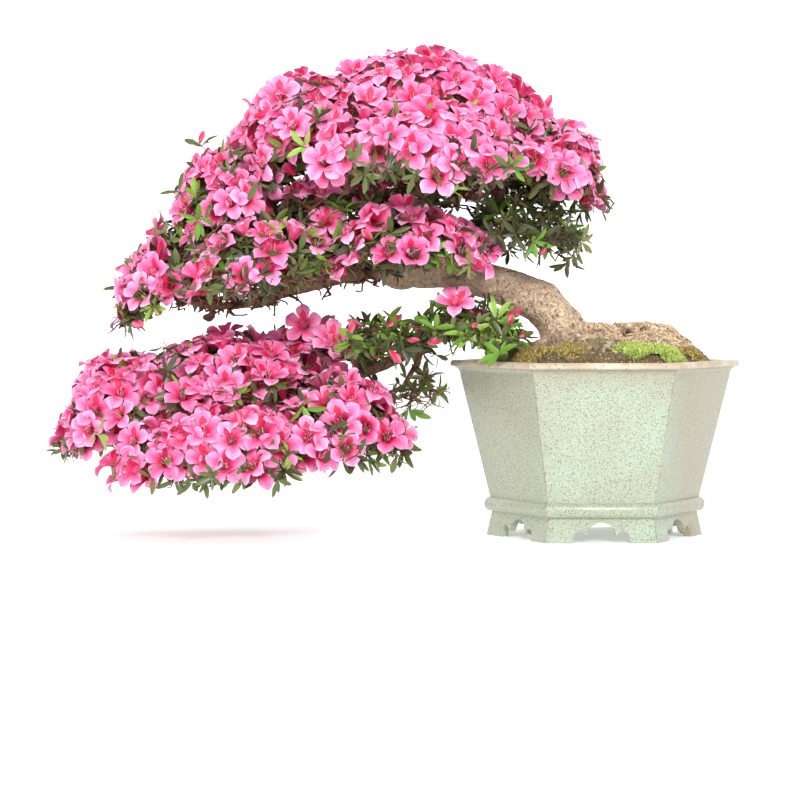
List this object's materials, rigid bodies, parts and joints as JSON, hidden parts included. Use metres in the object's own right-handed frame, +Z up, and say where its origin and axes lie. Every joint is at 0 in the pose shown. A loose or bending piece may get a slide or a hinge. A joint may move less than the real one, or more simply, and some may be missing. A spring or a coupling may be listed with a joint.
{
  "type": "potted azalea bonsai",
  "caption": "Semi-cascade flowering azalea bonsai: a leaning trunk, a domed crown, a left shelf and a cascade over the rim of a footed hexagonal glazed pot.",
  "frame": {"origin": "on the ground under the middle of the plant's bounding box", "axes": "+X from the cascade towards the pot, +Z up; -Y is the plant's front"},
  "size_m": [0.8218, 0.3634, 0.5806],
  "materials": {
    "glaze": "pale celadon glaze with fine rust-brown speckles, unglazed tan lip",
    "soil": "moist clay grit with moss",
    "bark": "smooth grey-brown bark with tan patches",
    "root_bark": "dry tan surface roots",
    "bough_bark": "dark brown twiggy bark",
    "blossom": "soft pink petals over small dark leaves",
    "foliage": "small glossy green leaves"
  },
  "bodies": {
    "root": {"bough_cascade": "bough_bark", "bough_cascade_back": "bough_bark", "bough_cascade_front": "bough_bark", "bough_crown_back": "bough_bark", "bough_crown_front": "bough_bark", "bough_crown_left": "bough_bark", "bough_crown_right": "bough_bark", "bough_leader": "bough_bark", "bough_left": "bough_bark", "bough_left_back": "bough_bark", "bough_left_front": "bough_bark", "bough_left_upper": "bough_bark", "bough_middle": "bough_bark", "bough_middle_right": "bough_bark", "bough_rim": "bough_bark", "bough_rim_under": "bough_bark", "cascade_back": "blossom", "cascade_front": "blossom", "cascade_ridge": "blossom", "cascade_right": "blossom", "cascade_tip": "blossom", "cascade_top": "blossom", "crown_back": "blossom", "crown_front": "blossom", "crown_left": "blossom", "crown_right": "blossom", "crown_top": "blossom", "left_back": "blossom", "left_front": "blossom", "left_tip": "blossom", "left_upper": "blossom", "middle_front": "blossom", "middle_left": "blossom", "middle_right": "foliage", "pot": "glaze", "rim_left": "foliage", "rim_right": "foliage", "rim_under": "foliage", "root_back": "root_bark", "root_clump": "root_bark", "root_front": "root_bark", "root_left": "root_bark", "root_ridge": "root_bark", "soil": "soil", "trunk": "bark"}
  },
  "joints": []
}
